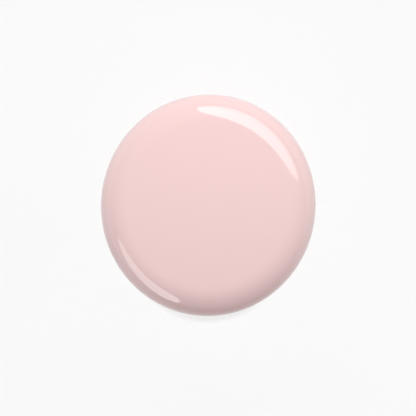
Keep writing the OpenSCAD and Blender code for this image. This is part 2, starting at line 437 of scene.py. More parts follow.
# Opaque cream lacquer, still liquid: as glossy as glass, with pigment that drifts very slightly. It
# is a little lighter than the cap: painted light, which makes up for the light that the glass around it
# takes away.
LIQUID_LACQUER = Finish("liquid_lacquer", ("#EED0CE", "#E9C8C6"), (0.05, 0.09), 5,
                        Grain(Pattern.WAVES, 6, 0.002), scatter=0.15, scatter_depth=0.4)
# Soda-lime glass, pressed and fire-polished: clear, with the long soft waves that the mould leaves.
SODA_LIME_GLASS = Finish("soda_lime_glass", ("#FBFDFC", "#F8FBFA"), (0.0, 0.012), 12,
                         Grain(Pattern.WAVES, 9, 0.003), transmission=1.0, ior=1.52)
# Stainless bearing steel, tumbled: a bright mirror with a trace of haze.
TUMBLED_STEEL = Finish("tumbled_steel", ("#CFD0D1", "#C4C6C8"), (0.07, 0.13), 1.2,
                       Grain(Pattern.WAVES, 0.25, 0.0002), metallic=1.0)
# Mild steel, turned and zinc-plated: concentric tool marks under a cool, cloudy plating.
ZINC_PLATED_STEEL = Finish("zinc_plated_steel", ("#B9C0C8", "#A8AEB4"), (0.24, 0.38), 3,
                           Grain(Pattern.RINGS, 0.3, 0.004), metallic=1.0)
# Stainless wire, drawn flat: bright, with fine streaks.
DRAWN_WIRE = Finish("drawn_wire", ("#C8C8C6", "#BDBDBA"), (0.18, 0.28), 0.4,
                    Grain(Pattern.WAVES, 0.08, 0.0008), metallic=1.0)
# Polyethylene foam with a skin: soft white, its closed cells just visible as shallow dimples.
CLOSED_CELL_FOAM = Finish("closed_cell_foam", ("#F5F4EF", "#ECEBE5"), (0.55, 0.72), 1.5,
                          Grain(Pattern.CELLS, 0.28, 0.02), scatter=0.2)
# Polypropylene, moulded in a spark-eroded tool: an even satin that hides fingerprints.
SATIN_POLYPROPYLENE = Finish("satin_polypropylene", ("#F1EFEC", "#E9E7E3"), (0.36, 0.46), 4,
                             Grain(Pattern.WAVES, 0.14, 0.003), scatter=0.12)
# Polypropylene with no pigment: greyer and slightly waxy, with the flow of the melt in it.
NATURAL_POLYPROPYLENE = Finish("natural_polypropylene", ("#E4E3DF", "#D8D7D2"), (0.38, 0.5), 7,
                               Grain(Pattern.WAVES, 0.4, 0.002), scatter=0.3, scatter_depth=1.2)
# Clay-coated paper: matt white with its fibres faintly in relief.
COATED_PAPER = Finish("coated_paper", ("#F3F1ED", "#ECEAE5"), (0.5, 0.62), 2,
                      Grain(Pattern.WAVES, 0.22, 0.004))


# ---------------------------------------------------------------- pieces


@dataclass(frozen=True)
class Piece:
    """A finished piece: its name, its body, its material slot, its finish and the nodes it stands for."""

    name: str
    body: str
    slot: str
    finish: Finish
    nodes: tuple[str, ...]
    crease_deg: float = 38

    def make(self, shape: Shape) -> bpy.types.Object:
        """Makes the mesh, closes its poles, turns its faces outward and places it on its body.

        Args:
            shape: The piece's points and faces, in millimetres.

        Returns:
            The object.
        """
        mesh = mesh_of(self.name, shape.outward())
        mesh.polygons.foreach_set("use_smooth", np.ones(len(mesh.polygons), bool))
        mesh.set_sharp_from_angle(angle=math.radians(self.crease_deg))
        mesh.materials.append(self.finish.material())
        piece = put(self.name, mesh)
        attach(piece, self.body)
        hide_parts(*self.nodes)
        LOG.info("%s: %d faces on %s", self.name, len(mesh.polygons), self.body)
        return piece


def put(name: str, data: bpy.types.ID) -> bpy.types.Object:
    """Puts a mesh, a light or a camera into the scene, at the origin.

    Args:
        name: The object's name.
        data: What it holds.

    Returns:
        The object.
    """
    thing = bpy.data.objects.new(name, data)
    bpy.context.scene.collection.objects.link(thing)
    return thing


def mesh_of(name: str, shape: Shape) -> bpy.types.Mesh:
    """Makes a mesh in metres, with the points that fall together at a pole merged into one.

    A face that has two corners on a pole becomes a triangle, and one with more is left out.

    Args:
        name: The mesh's name.
        shape: Points in millimetres, and faces.

    Returns:
        The mesh.
    """
    _, first, place = np.unique(
        np.round(shape.points, MERGE_DECIMALS), axis=0, return_index=True, return_inverse=True)
    faces = place.reshape(-1)[shape.faces]
    distinct = faces != np.roll(faces, 1, axis=1)
    corners = distinct.sum(axis=1)
    quads = faces[corners == 4]
    triangles = faces[corners == 3][distinct[corners == 3]].reshape(-1, 3)
    mesh = bpy.data.meshes.new(name)
    mesh.from_pydata((shape.points[first] * MM).tolist(), [], [*quads.tolist(), *triangles.tolist()])
    mesh.validate()
    mesh.update()
    return mesh


def dress(node: str, finish: Finish) -> None:
    """Gives a CAD node, whose shape stays as it is, its finish.

    Args:
        node: The node's name.
        finish: What it is made of.
    """
    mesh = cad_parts[node].data
    mesh.materials.clear()
    mesh.materials.append(finish.material())
    LOG.info("%s: shape kept, finished as %s", node, finish.name)


@dataclass
class OverCap:
    """The pull-off cap: a lacquered shell, with a collet that grips the inner cap and a steel weight."""

    wall: float = 1.7
    crown_radius: float = 60
    edge_radius: float = 4.8
    rim_radius: float = 0.8
    crown_thickness: float = 3.6
    cavity_round: float = 3
    lip_round: float = 0.25
    columns: int = 192

    def __post_init__(self) -> None:
        """Reads the shell's outer size from the frame."""
        self.box = NodeBox.of("over_cap")

    def outer_profile(self) -> np.ndarray:
        """From the crown's centre to the rim: a large arc, an edge arc that it runs into, and the side.

        The two arcs share a normal where they meet, whose sine is the edge centre's distance from
        the axis over the difference of the two radii.

        Returns:
            Rows of distance from the axis and height.
        """
        radius, top = self.box.radius, self.box.top
        edge_x = radius - self.edge_radius
        reach = self.crown_radius - self.edge_radius
        join = math.degrees(math.acos(edge_x / reach))
        crown_z = top - self.crown_radius
        edge_z = crown_z + math.sqrt(reach ** 2 - edge_x ** 2)
        rim = (radius - self.rim_radius, self.box.bottom + self.rim_radius)
        return np.vstack((
            arc((0, crown_z), self.crown_radius, 90, join, 40),
            arc((edge_x, edge_z), self.edge_radius, join, 0, 40)[1:],
            line((radius, edge_z), (radius, rim[1]), 2)[1:],
            arc(rim, self.rim_radius, 0, -90, 10)[1:]))

    def cavity_profile(self) -> np.ndarray:
        """From the rim's inner edge up the cavity's wall to the centre of its roof.

        Returns:
            Rows of distance from the axis and height.
        """
        radius = self.box.radius - self.wall
        roof = self.box.top - self.crown_thickness
        lip = self.box.bottom + self.lip_round
        corner = (radius - self.cavity_round, roof - self.cavity_round)
        return np.vstack((
            arc((radius + self.lip_round, lip), self.lip_round, -90, -180, 5),
            line((radius, lip), (radius, corner[1]), 2)[1:],
            arc(corner, self.cavity_round, 0, 90)[1:],
            line((corner[0], roof), (0, roof), 2)[1:]))

    def build(self) -> None:
        """Makes the shell, oval outside and round inside, and finishes the collet and the weight."""
        outer, inner = self.outer_profile(), self.cavity_profile()
        oval = np.concatenate((np.full(len(outer), self.box.oval), np.ones(len(inner))))
        shell = Shape.grid(revolve(np.vstack((outer, inner)), self.columns, oval))
        Piece("over_cap_shell", "over_cap", "cap_lacquer", SPRAYED_ABS, ("over_cap",)).make(shell)
        dress("cap_collet", NATURAL_POLYPROPYLENE)
        dress("cap_weight", ZINC_PLATED_STEEL)


@dataclass
class Bottle:
    """The glass bottle with its screw neck, its blank label, the polish and the mixing balls."""

    wall: float = 2.6
    base_thickness: float = 4.8
    floor_rise: float = 0.9
    heel_radius: float = 4.4
    shoulder_z: float = 32.5
    shoulder_radius: float = 3.4
    recess_depth: float = 0.6
    recess_slope: float = 0.5
    bearing_width: float = 0.7
    cavity_corner: float = 3.2
    cavity_shoulder: float = 3
    neck_radius: float = 5.7
    neck_fillet: float = 0.8
    bore_radius: float = 3.6
    bore_blend: float = 1.2
    lip_round: float = 0.5
    wetting: float = 0.04       # the polish reaches this far into the glass, so that no air shows between
    meniscus: float = 0.7       # how far the polish climbs the wall
    capillary: float = 1.6      # the climb fades over this distance
    thread_turns: float = 1.5
    columns: int = 192
    label_columns: int = 128

    def __post_init__(self) -> None:
        """Reads the glass's and the polish's outer sizes from the frame."""
        self.box = NodeBox.of("glass_bottle")
        self.fill = NodeBox.of("polish").top
        self.thread = ScrewThread(self.box.top - THREAD_DROP, 0, self.thread_turns)

    def outer_profile(self) -> np.ndarray:
        """From the recess under the base, round the heel, up the side and the neck to the lip.

        Returns:
            Rows of distance from the axis and height.
        """
        radius, shoulder, lip = self.box.radius, self.shoulder_z, self.box.top
        heel, neck = radius - self.heel_radius, self.neck_radius
        ring = heel - self.bearing_width
        recess = ring - self.recess_slope
        fillet = neck + self.neck_fillet
        return np.vstack((
            line((0, self.recess_depth), (recess, self.recess_depth), 2),
            line((recess, self.recess_depth), (ring, 0), 0.2)[1:],
            line((ring, 0), (heel, 0), 0.4)[1:],
            arc((heel, self.heel_radius), self.heel_radius, -90, 0, 18)[1:],
            line((radius, self.heel_radius), (radius, shoulder - self.shoulder_radius), 1.5)[1:],
            arc((radius - self.shoulder_radius, shoulder - self.shoulder_radius),
                self.shoulder_radius, 0, 90, 16)[1:],
            line((radius - self.shoulder_radius, shoulder), (fillet, shoulder), 0.8)[1:],
            arc((fillet, shoulder + self.neck_fillet), self.neck_fillet, 270, 180, 8)[1:],
            line((neck, shoulder + self.neck_fillet), (neck, lip - self.lip_round), 0.12)[1:],
            arc((neck - self.lip_round, lip - self.lip_round), self.lip_round, 0, 90, 8)[1:]))

    def cavity_profile(self, spread: float = 0.0) -> np.ndarray:
        """From the lip's inner edge down the bore and the cavity to the middle of its domed floor.

        Args:
            spread: How far the profile is moved into the glass.

        Returns:
            Rows of distance from the axis and height.
        """
        radius = self.box.radius - self.wall
        roof, lip, bore = self.shoulder_z - self.wall, self.box.top, self.bore_radius
        corner, floor = self.cavity_corner, self.base_thickness
        upper, shoulder_z = radius - self.cavity_shoulder, roof - self.cavity_shoulder
        corner_z = floor + corner
        blend = bore + self.bore_blend
        foot = radius - corner
        dome = np.linspace(1, 0, 12)[1:]
        return np.vstack((
            arc((bore + self.lip_round, lip - self.lip_round), self.lip_round, 90, 180, 8),
            line((bore, lip - self.lip_round), (bore, roof + self.bore_blend), 0.8)[1:],
            arc((blend, roof + self.bore_blend), self.bore_blend, 180, 270, 8)[1:],
            line((blend, roof), (upper, roof), 0.8)[1:],
            arc((upper, shoulder_z), self.cavity_shoulder + spread, 90, 0, 14)[1:],
            line((radius + spread, shoulder_z), (radius + spread, corner_z), 1.5)[1:],
            arc((foot, corner_z), corner + spread, 0, -90, 16)[1:],
            np.column_stack((foot * dome, floor - spread + self.floor_rise * (1 - dome)))))

    def build_glass(self) -> None:
        """Makes the glass as one skin, with the thread raised out of the neck's own surface.

        The sides are oval and the neck is round. On the flat shoulder between them the stretch eases
        from one to the other with the distance from the neck.
        """
        outer, inner = self.outer_profile(), self.cavity_profile()
        radius, height = outer[:, 0], outer[:, 1]
        out = (radius - self.neck_radius) / (self.box.radius - self.neck_radius)
        eased = 1 + (self.box.oval - 1) * smooth(out)
        oval = np.where(height > self.shoulder_z - NEAR, eased, self.box.oval)
        oval = np.concatenate((oval, np.ones(len(inner))))
        points = revolve(np.vstack((outer, inner)), self.columns, oval)
        on_neck = (np.abs(radius - self.neck_radius) < NEAR) & (height > self.shoulder_z)
        raised = self.thread.height(points) * np.pad(on_neck, (0, len(inner)))[:, None]
        glass = Shape.grid(swell(points, raised))
        Piece("bottle_glass", "bottle", "flint_glass", SODA_LIME_GLASS, ("glass_bottle",)).make(glass)

    def build_polish(self) -> None:
        """Makes the polish: the cavity's own profile up to the fill, and a surface that climbs the wall.

        The surface stands at the fill less the climb, plus the climb times e to the power of minus the
        distance from the wall over the capillary length.
        """
        below = self.cavity_profile(self.wetting)
        below = below[below[:, 1] < self.fill]
        wall = float(below[0, 0])
        radius = np.linspace(0, wall, 40)
        climb = self.meniscus * (np.exp(-(wall - radius) / self.capillary) - 1)
        surface = np.column_stack((radius, self.fill + climb))
        polish = Shape.grid(revolve(np.vstack((surface, below)), self.columns))
        Piece("liquid_polish", "bottle", "polish", LIQUID_LACQUER, ("polish",), crease_deg=70).make(polish)

    def build_label(self) -> None:
        """Makes the blank label: a thin disc of paper with a softened cut edge."""
        box = NodeBox.of("base_label")
        half = (box.top - box.bottom) / 2
        edge = arc((box.radius - half, box.bottom + half), half, -90, 90, 8)
        profile = np.vstack((line((0, box.bottom), tuple(edge[0]), 1), edge[1:],
                             line(tuple(edge[-1]), (0, box.top), 1)[1:]))
        label = Shape.grid(revolve(profile, self.label_columns))
        Piece("blank_base_label", "bottle", "label_paper", COATED_PAPER, ("base_label",)).make(label)

    def build(self) -> None:
        """Makes the glass, the polish and the label, and finishes the balls."""
        self.build_glass()
        self.build_polish()
        self.build_label()
        dress("mixing_ball_1", TUMBLED_STEEL)
        dress("mixing_ball_2", TUMBLED_STEEL)


@dataclass
class InnerCap:
    """The ribbed screw cap, with its thread and the socket that holds the rod."""

    ribs: int = 40
    columns_per_rib: int = 12
    rib_depth: float = 0.35
    edge: float = 1.4
    mouth_chamfer: float = 0.6
    mouth_round: float = 0.15
    band: float = 1.2
    bore_radius: float = 6.75
    socket_radius: float = 2.6
    socket_depth: float = 8
    snap_height: float = 4.2
    snap_depth: float = 0.35
    snap_half: float = 0.9
    rib_fade: float = 1.0           # the flutes reach their full depth over this height
    flute_cut: float = 1.6          # over 1, the flutes have flat floors
    ceiling_rise: float = 1.64      # the liner and the rod's flange lie between the lip and the ceiling
    thread_start_deg: float = 60
    thread_turns: float = 1.25
    thread_play: float = 0.25       # the cap's thread is this far over the middle of the neck's gap

    def __post_init__(self) -> None:
        """Reads the cap's size, and finds its ceiling and its thread, half a pitch from the neck's."""
        self.box = NodeBox.of("inner_cap")
        self.lip_z = NodeBox.of("glass_bottle").top
        self.ceiling = self.lip_z + self.ceiling_rise
        between = THREAD_PITCH * (self.thread_start_deg / 360 - 0.5)
        self.thread = ScrewThread(self.lip_z - THREAD_DROP + between + self.thread_play,
                                  self.thread_start_deg, self.thread_turns, depth=0.8, crest_width=0.4)

    def profile(self) -> tuple[np.ndarray, int, int]:
        """From the top's centre over the side to the mouth, up the bore, and up the socket.

        Returns:
            The profile, and the row numbers where the bore and the ceiling start.
        """
        radius, top, bottom = self.box.radius, self.box.top, self.box.bottom
        chamfer, mouth, inside = self.mouth_chamfer, self.mouth_round, self.bore_radius
        faded = bottom + self.band + self.rib_fade
        outer = np.vstack((
            line((0, top), (radius - self.edge, top), 1),
            arc((radius - self.edge, top - self.edge), self.edge, 90, 0, 12)[1:],
            line((radius, top - self.edge), (radius, faded), 2)[1:],
            line((radius, faded), (radius, bottom + chamfer), 0.2)[1:],
            line((radius, bottom + chamfer), (radius - chamfer, bottom), 0.3)[1:],
            arc((inside + mouth, bottom + mouth), mouth, -90, -180, 4)))
        bore = line((inside, bottom + mouth), (inside, self.ceiling), 0.16)[1:]
        socket, roof = self.socket_radius, self.ceiling + self.socket_depth
        snap = self.ceiling + self.snap_height
        low, high = (socket, snap - self.snap_half), (socket, snap + self.snap_half)
        hollow = np.vstack((
            polyline([(inside, self.ceiling), (socket, self.ceiling), low], 0.8)[1:],
            polyline([low, (socket + self.snap_depth, snap), high], 0.3)[1:],
            polyline([high, (socket, roof), (0, roof)], 0.8)[1:]))
        return np.vstack((outer, bore, hollow)), len(outer), len(outer) + len(bore)

    def flute(self, points: np.ndarray) -> np.ndarray:
        """Depth of the flutes between the ribs, which fade out at the lower band and at the top edge.

        One rib and one flute repeat with the angle. The flute is the upper half of a cosine, cut off
        flat, so that the ribs keep broad tops.

        Args:
            points: Array of rows by columns by 3, on the cap's plain outer surface.

        Returns:
            Depths under the ribs' tops.
        """
        z = points[..., 2]
        angle = np.arctan2(points[..., 1], points[..., 0])
        wave = np.clip(np.cos(angle * self.ribs) * self.flute_cut, 0, 1)
        rise = smooth((z - self.box.bottom - self.band) / self.rib_fade)
        fall = smooth((self.box.top - self.edge * 0.5 - z) / self.rib_fade)
        return self.rib_depth * wave * rise * fall

    def build(self) -> None:
        """Makes the cap as one skin, fluted outside and threaded inside."""
        profile, bore, ceiling = self.profile()
        points = revolve(profile, self.ribs * self.columns_per_rib)
        moved = np.zeros(points.shape[:2])
        moved[:bore] = -self.flute(points[:bore])
        moved[bore:ceiling] = -self.thread.height(points[bore:ceiling])
        cap = Shape.grid(swell(points, moved))
        Piece("ribbed_inner_cap", "inner_cap", "inner_cap_plastic", SATIN_POLYPROPYLENE,
              ("inner_cap",)).make(cap)


@dataclass
class Brush:
    """Rod, staple, folded bristles and the free tuft, with the foam liner under the rod's flange."""

    filaments: int = 180
    filament_radius: float = 0.05
    sides: int = 6
    rows: int = 12
    cut: float = 0.006          # a cut end is rounded over this share of the filament
    bundle_radius: float = 0.92
    belly_radius: float = 1.6
    tip_radius: float = 1.15
    tip_spread: float = 1.0
    flange_thickness: float = 0.7
    rod_top_radius: float = 2
    rod_tip_radius: float = 1.45
    rod_straight: float = 2.5
    head_radius: float = 2.54
    head_chamfer: float = 0.8
    snap_depth: float = 0.35
    snap_half: float = 0.9
    snap_rise: float = 4.2
    hole_radius: float = 1.02
    hole_depth: float = 4.6
    edge: float = 0.12
    uneven_rad: float = 0.12        # a filament's place round the bundle is this far out, give or take
    drift_rad: float = 0.1          # and it wanders this far round on its way down
    ragged: float = 0.35            # the cut ends differ by up to this much
    fold_margin: float = 0.12       # room between the folded filaments and the hole's wall
    fold_squeeze: float = 0.85      # how flat the wire presses them
    fold_least: float = 0.2         # the hole's wall counts as no nearer to the wire's middle than this
    arch_share: float = 0.9         # the loops fill this much of the room over the wire
    foot_gap: float = 0.02          # they end this far inside the hole
    flange_gap: float = 0.01        # between the liner and the rod's flange
    liner_play: float = 0.15        # between the rod and the liner
    liner_round: float = 0.3
    columns: int = 96
    seed: int = 7

    def __post_init__(self) -> None:
        """Reads the rod's, the tuft's and the liner's sizes, and makes the stained finishes."""
        self.rod = NodeBox.of("brush_rod")
        self.tuft = NodeBox.of("bristles")
        self.staple = NodeBox.of("brush_staple")
        self.liner = NodeBox.of("seal_liner")
        fill = NodeBox.of("polish").top
        self.flange_z = self.liner.top + self.flange_gap
        # Low-density polyethylene, moulded: milky and waxy, and coated with polish where it dips.
        self.rod_finish = Finish("dipped_polyethylene", ("#F3F2EE", "#EAE9E4"), (0.2, 0.36), 4,
                                 Grain(Pattern.WAVES, 0.6, 0.003), scatter=0.25,
                                 tide=Tide(PINK, fill - 1, 1.4))
        # Nylon filament, drawn and wet with polish: shiny, and pink all the way to the rod.
        # Its pink is painted lighter than the polish: painted light against the shade that falls between
        # the filaments.
        self.filament_finish = Finish("wet_nylon", ("#F7E3E1", "#F0D6D4"), (0.14, 0.28), 1.2,
                                      Grain(Pattern.WAVES, 0.5, 0.002), scatter=0.3, scatter_depth=0.3)

    def tubes(self, middle: np.ndarray, taper: np.ndarray) -> np.ndarray:
        """Puts a thin round skin about each filament's middle line.

        Each ring lies square to the filament: its two axes are the side-on direction and the cross
        product of that with the filament's own direction.

        Args:
            middle: Array of filaments by rows by 3.
            taper: Share of the radius at each row.

        Returns:
            Array of filaments by rows by sides by 3.
        """
        along = np.gradient(middle, axis=1)
        along /= np.linalg.norm(along, axis=-1, keepdims=True)
        across = np.cross(along, (1.0, 0.0, 0.0))
        across /= np.linalg.norm(across, axis=-1, keepdims=True)
        other = np.cross(along, across)
        turn = np.linspace(0, 2 * math.pi, self.sides, endpoint=False)
        radius = (self.filament_radius * taper)[None, :, None, None]
        ring = across[:, :, None] * np.cos(turn)[:, None] + other[:, :, None] * np.sin(turn)[:, None]
        return middle[:, :, None] + radius * ring

    def spread(self, count: int, rng: np.random.Generator) -> tuple[np.ndarray, np.ndarray]:
        """Places filaments evenly over a disc: distance by the number's root, turn by the golden angle.

        Args:
            count: How many filaments.
            rng: Seeded source of the small unevenness.

        Returns:
            Distances from 0 to 1, and angles in radians.
        """
        number = np.arange(count)
        angle = number * GOLDEN_ANGLE + rng.normal(0, self.uneven_rad, count)
        return np.sqrt((number + 0.5) / count), angle

    def build_tuft(self) -> None:
        """Makes the free filaments. They spread below the rod and come together again at the tip.

        A filament's distance from the axis runs from the bundle's radius through the belly's to the
        tip's, by a sine over the length, and the outer filaments end higher so that the tip is round.
        """
        rng = np.random.default_rng(self.seed)
        share, angle = self.spread(self.filaments, rng)
        down = np.concatenate(([0], np.linspace(self.cut, 1 - self.cut, self.rows), [1]))
        limit = self.bundle_radius + (self.tip_radius - self.bundle_radius) * down
        limit = limit + (self.belly_radius - limit) * np.sin(math.pi * down ** 0.8) ** 1.2
        distance = share[:, None] * (limit - self.filament_radius)
        ends = self.tuft.bottom + self.tip_spread * share ** 2 + rng.uniform(0, self.ragged, self.filaments)
        height = self.tuft.top + (ends - self.tuft.top)[:, None] * down
        drift = angle[:, None] + rng.normal(0, self.drift_rad, self.filaments)[:, None] * down
        middle = np.stack((distance * np.cos(drift), distance * np.sin(drift), height), axis=-1)
        taper = np.pad(np.ones(self.rows), 1)
        taper[-2] = 0.8     # the last ring before the cut end is drawn in, which rounds it
        tuft = Shape.bundle(self.tubes(middle, taper))
        Piece("bristle_tuft", "tuft", "bristle_nylon", self.filament_finish, ("bristles",),
              crease_deg=80).make(tuft)

    def build_fold(self) -> None:
        """Makes the folded filaments: up beside the staple, over it in a half circle and down again.

        Each stands beside the wire, and no further out than the hole's wall lets it.
        """
        rng = np.random.default_rng(self.seed + 1)
        share, angle = self.spread(self.filaments // 2, rng)
        reach = share * (self.hole_radius - self.fold_margin)
        x = reach * np.cos(angle)
        y = np.abs(reach * np.sin(angle)) * self.fold_squeeze + (self.staple.high[1] + self.filament_radius)
        wall = np.sqrt(np.maximum(self.hole_radius ** 2 - x ** 2, self.fold_least ** 2))
        y = np.minimum(y, wall - self.filament_radius)
        turn = np.linspace(0, math.pi, self.rows)
        room = self.rod.bottom + self.hole_depth - self.staple.top - 2 * self.filament_radius
        arch = np.sin(turn)[None, :] * np.minimum(y, room)[:, None] * self.arch_share
        foot = self.rod.bottom + self.foot_gap
        legs = np.concatenate(([foot], np.full(self.rows, self.staple.top), [foot]))
        side = np.concatenate(([1.0], np.cos(turn), [-1.0]))
        rise = np.pad(arch, ((0, 0), (1, 1)))
        across = np.broadcast_to(x[:, None], rise.shape)
        middle = np.stack((across, y[:, None] * side, legs + rise), axis=-1)
        loops = Shape.bundle(self.tubes(middle, np.pad(np.ones(self.rows), 1)))
        Piece("bristle_loops", "brush", "bristle_nylon", self.filament_finish, ("bristle_fold",),
              crease_deg=80).make(loops)

    def build_rod(self) -> None:
        """Makes the rod: a snap head, a sealing flange, a slim taper and the hole for the bristles."""
        e, hole, top = self.edge, self.hole_radius, self.rod.top
        foot, roof = self.rod.bottom + e, self.rod.bottom + self.hole_depth
        shank, rim = self.rod_top_radius, self.rod.radius - e
        under, over = self.flange_z, self.flange_z + self.flange_thickness
        snap, head, chamfer = over + self.snap_rise, self.head_radius, self.head_chamfer
        low, high = (head, snap - self.snap_half), (head, snap + self.snap_half)
        profile = np.vstack((
            line((0, roof), (hole, roof), 0.5),
            line((hole, roof), (hole, foot), 1)[1:],
            arc((hole + e, foot), e, 180, 270, 4)[1:],
            arc((self.rod_tip_radius - e, foot), e, 270, 360, 4),
            polyline([(self.rod_tip_radius, foot), (shank, under - self.rod_straight),
                      (shank, under), (rim, under)], 1)[1:],
            arc((rim, under + e), e, 270, 360, 4)[1:],
            arc((rim, over - e), e, 0, 90, 4),
            polyline([(rim, over), (head, over), low], 1)[1:],
            polyline([low, (head + self.snap_depth, snap), high], 0.3)[1:],
            line(high, (head, top - chamfer), 1)[1:],
            line((head, top - chamfer), (head - chamfer, top), 0.4)[1:],
            line((head - chamfer, top), (0, top), 0.8)[1:]))
        rod = Shape.grid(revolve(profile, self.columns))
        Piece("applicator_rod", "brush", "rod_plastic", self.rod_finish, ("brush_rod",)).make(rod)

    def build_liner(self) -> None:
        """Makes the foam ring, whose edges are rounded where the flange presses it on the lip."""
        low, high = self.liner.bottom, self.liner.top
        soft = self.liner_round
        inner, outer = self.rod_top_radius + self.liner_play + soft, self.liner.radius - soft
        profile = np.vstack((
            arc((outer, low + soft), soft, -90, 0, 6),
            arc((outer, high - soft), soft, 0, 90, 6),
            line((outer, high), (inner, high), 0.6)[1:],
            arc((inner, high - soft), soft, 90, 180, 6)[1:],
            arc((inner, low + soft), soft, 180, 270, 6),
            line((inner, low), (outer, low), 0.6)[1:-1]))
        liner = Shape.grid(revolve(profile, self.columns), wrap_rows=True)
        Piece("foam_liner", "liner", "liner_foam", CLOSED_CELL_FOAM, ("seal_liner",)).make(liner)

    def build(self) -> None:
        """Makes the rod, the bristles and the liner, and finishes the staple."""
        self.build_rod()
        self.build_tuft()
        self.build_fold()
        self.build_liner()
        dress("brush_staple", DRAWN_WIRE)


# ---------------------------------------------------------------- studio


@dataclass(frozen=True)
class Panel:
    """A soft box: an upright glowing sheet beside the bottle.

    The azimuth is seen from above, in degrees from the picture's right. The low edge and the glow
    run evenly between two ends, of which the counter-clockwise one comes first.
    """

    name: str
    azimuth: float
    distance: float
    half_width_deg: float
    low_deg: tuple[float, float]
    high_deg: float
    glow: tuple[float, float]
    waist: float
    power: float
    fade: float

    def outline(self, rows: int = 12, columns: int = 61) -> tuple[np.ndarray, np.ndarray]:
        """Finds the sheet's points across and up, and the glow at each.

        The waist is the share of the height at which the sheet is widest. Over it, the outline is the
        root of one less the power of the distance from the middle, so that 2 gives an oval and more
        gives squarer shoulders. Under it, the outline is an oval. The fade is the share of the glow
        that the low edge lacks, which is made up by a third of the way to the top.

        Args:
            rows: Points up the sheet.
            columns: Points across it.

        Returns:
            Rows by columns by 2 of across and up, and rows by columns of glow.
        """
        side = np.linspace(-1, 1, columns)[None, :]
        share = np.linspace(0, 1, rows)[:, None]
        ends = [self.distance * math.tan(math.radians(d)) for d in self.low_deg]
        low = ends[1] + (ends[0] - ends[1]) * (side + 1) / 2
        top = self.distance * math.tan(math.radians(self.high_deg))
        widest = low + (top - low) * self.waist
        under = widest - (widest - low) * np.sqrt(1 - side ** 2)
        over = widest + (top - widest) * (1 - np.abs(side) ** self.power) ** (1 / self.power)
        up = under + (over - under) * share
        half_width = self.distance * math.tan(math.radians(self.half_width_deg))
        across = np.broadcast_to(half_width * side, up.shape)
        glow = (self.glow[1] + (self.glow[0] - self.glow[1]) * (side + 1) / 2) * (
            1 - self.fade * (1 - smooth(share * 3)))
        return np.stack((across, up), axis=-1), glow


@dataclass(frozen=True)
class SoftSun:
    """A light from one direction, as wide as its spread in degrees. It makes no highlight.

    Its azimuth is in degrees from the picture's right, and its strength is what a white surface that
    faces it gives back. A fill light throws no shadow.
    """

    name: str
    strength: float
    azimuth: float
    elevation: float
    spread: float
    fill: bool


